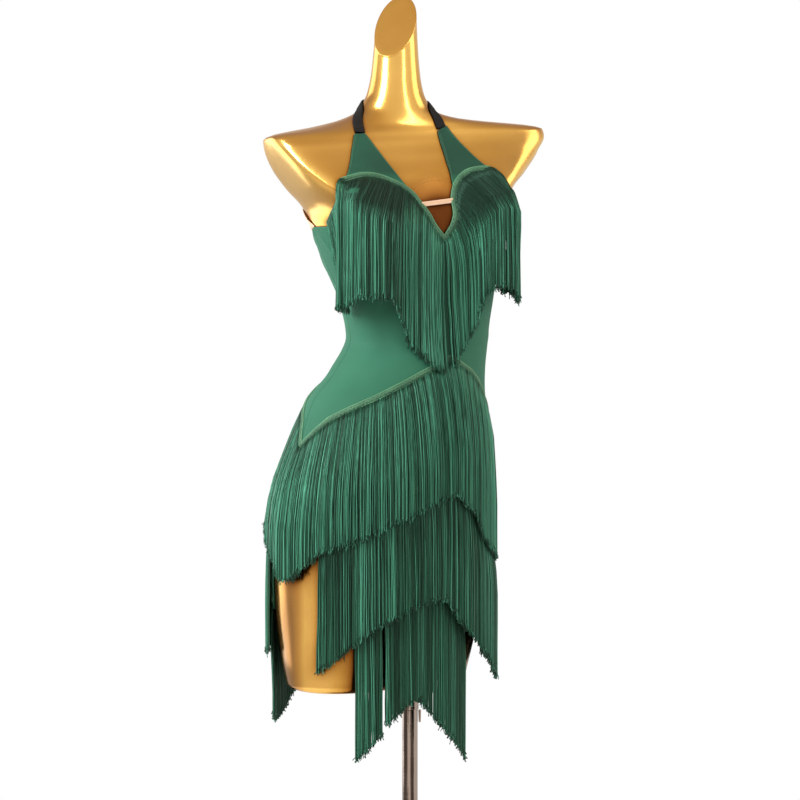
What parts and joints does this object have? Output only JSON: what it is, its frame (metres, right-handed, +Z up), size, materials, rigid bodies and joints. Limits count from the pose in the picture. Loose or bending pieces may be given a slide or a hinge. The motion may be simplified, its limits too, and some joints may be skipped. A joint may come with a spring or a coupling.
{
  "type": "latin dance dress on a limbless dress form",
  "caption": "Halter dance dress with chevron rows of long fringe, fitted on a smooth headless and armless dress form that stands on a pole with a round base.",
  "frame": {"origin": "centre of the round base's underside, on the pole's axis", "axes": "+Z up along the pole, -Y the way the dress faces, +X to the wearer's left"},
  "size_m": [0.4293, 0.4, 1.5962],
  "materials": {
    "gold_lacquer": "glossy metallic gold lacquer on moulded fibreglass",
    "brushed_steel": "brushed",
    "black_steel": "satin black",
    "green_jersey": "matt stretch jersey",
    "green_fringe": "twisted rayon fringe with a slight sheen",
    "black_elastic": "matt woven elastic",
    "nude_elastic": "matt woven elastic"
  },
  "bodies": {
    "root": {"dress_form": "gold_lacquer", "form_socket": "brushed_steel", "pole": "brushed_steel", "collar": "brushed_steel", "clamp_screw": "brushed_steel", "base_plate": "black_steel", "base_hub": "black_steel", "front_bodice": "green_jersey", "back_bodice": "green_jersey", "halter_right": "green_jersey", "halter_left": "green_jersey", "front_skirt": "green_jersey", "back_skirt": "green_jersey", "neck_strap": "black_elastic", "back_band": "nude_elastic", "bridge_elastic": "nude_elastic", "bust_fringe": "green_fringe", "hip_fringe_front": "green_fringe", "hip_fringe_back": "green_fringe", "mid_fringe_front": "green_fringe", "mid_fringe_back": "green_fringe", "low_fringe_right": "green_fringe", "low_fringe_left": "green_fringe", "low_fringe_back": "green_fringe"}
  },
  "joints": []
}
